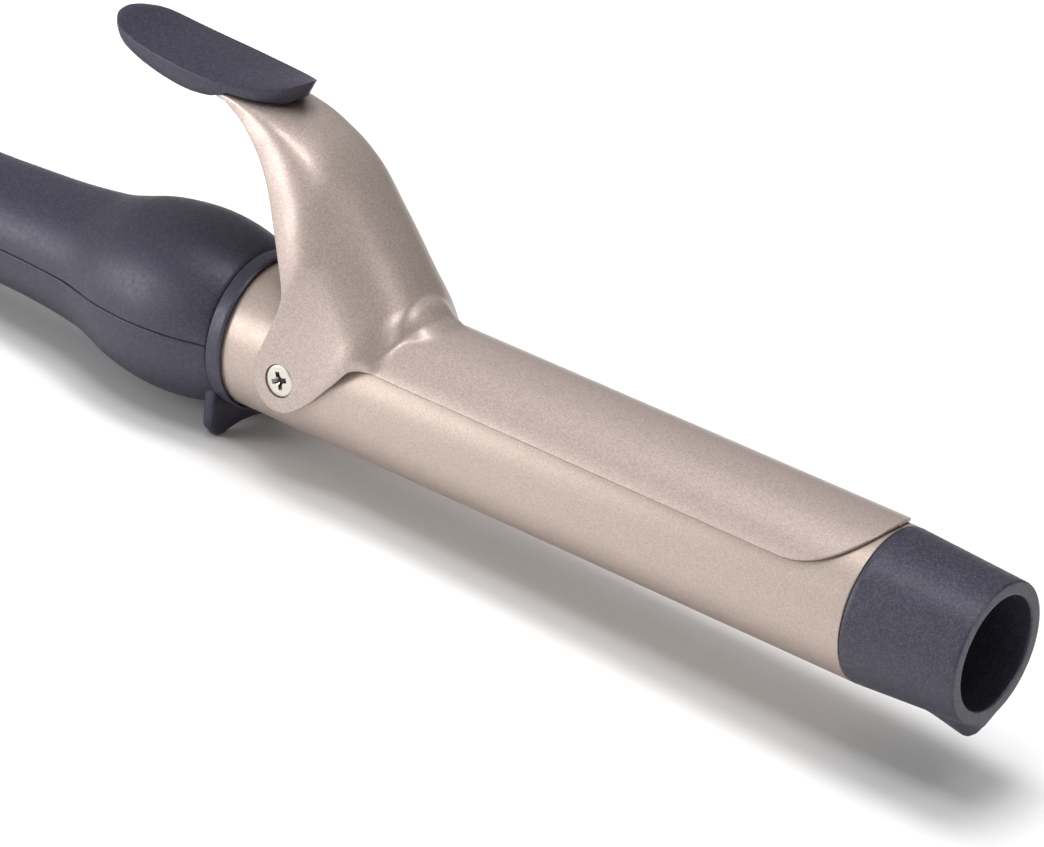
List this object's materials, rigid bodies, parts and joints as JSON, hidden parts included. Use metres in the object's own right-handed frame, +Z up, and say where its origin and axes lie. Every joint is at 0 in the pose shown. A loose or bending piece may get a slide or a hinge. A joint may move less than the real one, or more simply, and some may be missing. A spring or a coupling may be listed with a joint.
{
  "type": "curling iron",
  "caption": "Spring-clip hair curling iron: lever clamp over a heated barrel, cool tip, stand feet, handle controls and a swivel cord inlet",
  "frame": {"origin": "bottom centre of the overall box, on the surface that the iron stands on", "axes": "+X runs from the cord inlet to the cool tip, +Z is up with the clamp lever on top, +Y is to the left of someone looking along +X"},
  "size_m": [0.3604, 0.0398, 0.08],
  "materials": {
    "handle_soft_touch": "matte soft-touch, dark violet grey with a fine fleck",
    "tip_plastic": "matte heat-resistant plastic, dark violet grey",
    "barrel_coating": "satin champagne coating",
    "clamp_coating": "pearl champagne coating on steel sheet",
    "bright_screw": "bright nickel plate",
    "steel": "plain steel",
    "mount_resin": "heat-resistant resin",
    "cast_aluminium": "as extruded",
    "ceramic": "fired alumina",
    "mica": "insulating sheet",
    "lead_sleeve": "glass-fibre sleeve",
    "board_green": "solder mask",
    "component_black": "moulded component body",
    "component_yellow": "film capacitor case",
    "display_window": "smoked gloss window",
    "power_key": "champagne gloss",
    "contact_brass": "plain brass"
  },
  "bodies": {
    "handle_and_barrel": {"handle_upper_shell": "handle_soft_touch", "handle_lower_shell": "handle_soft_touch", "handle_screws": "steel", "collar_ring": "handle_soft_touch", "barrel_mount": "mount_resin", "barrel_tube": "barrel_coating", "cool_tip": "tip_plastic", "tip_plug": "mount_resin", "tip_screw": "steel", "pivot_block": "cast_aluminium", "pivot_screws": "bright_screw", "heater_upper": "cast_aluminium", "heater_lower": "cast_aluminium", "heater_element": "ceramic", "mica_sheets": "mica", "spreader_springs": "steel", "thermistor": "ceramic", "thermal_fuse": "steel", "heater_leads": "lead_sleeve", "sensor_leads": "lead_sleeve", "control_board": "board_green", "film_capacitor": "component_yellow", "triac": "component_black", "control_chip": "component_black", "terminal_block": "board_green", "display_module": "component_black", "display_lens": "display_window", "tact_switches": "component_black", "board_screws": "steel", "swivel_socket": "mount_resin", "brush_contacts": "contact_brass"},
    "clamp_lever": {"clamp": "clamp_coating", "thumb_pad": "handle_soft_touch", "pad_screws": "steel", "spring_pin": "steel", "clamp_spring": "steel"},
    "power_button": {"power_button": "power_key"},
    "plus_button": {"plus_button": "handle_soft_touch"},
    "minus_button": {"minus_button": "handle_soft_touch"},
    "cord_swivel": {"swivel_gland": "mount_resin", "slip_rings": "contact_brass"}
  },
  "joints": [
    {"name": "clamp_hinge", "type": "hinge", "parent": "handle_and_barrel", "child": "clamp_lever", "pos_m": [0.01769, 0, 0.0221], "axis": [0, -1, 0], "range_deg": [0, 24], "stiffness_Nm_per_rad": 0.25, "springref_deg": -34.38, "deforming": ["clamp_spring"]},
    {"name": "power_press", "type": "slide", "parent": "handle_and_barrel", "child": "power_button", "axis": [0, 0, -1], "range_m": [0, 0.0006], "stiffness_N_per_m": 800, "springref_m": -0.0008},
    {"name": "plus_press", "type": "slide", "parent": "handle_and_barrel", "child": "plus_button", "axis": [0, 0, -1], "range_m": [0, 0.0006], "stiffness_N_per_m": 800, "springref_m": -0.0008},
    {"name": "minus_press", "type": "slide", "parent": "handle_and_barrel", "child": "minus_button", "axis": [0, 0, -1], "range_m": [0, 0.0006], "stiffness_N_per_m": 800, "springref_m": -0.0008},
    {"name": "cord_turn", "type": "hinge", "parent": "handle_and_barrel", "child": "cord_swivel", "pos_m": [-0.165, 0, 0.02235], "axis": [1, 0, 0], "continuous": true}
  ]
}
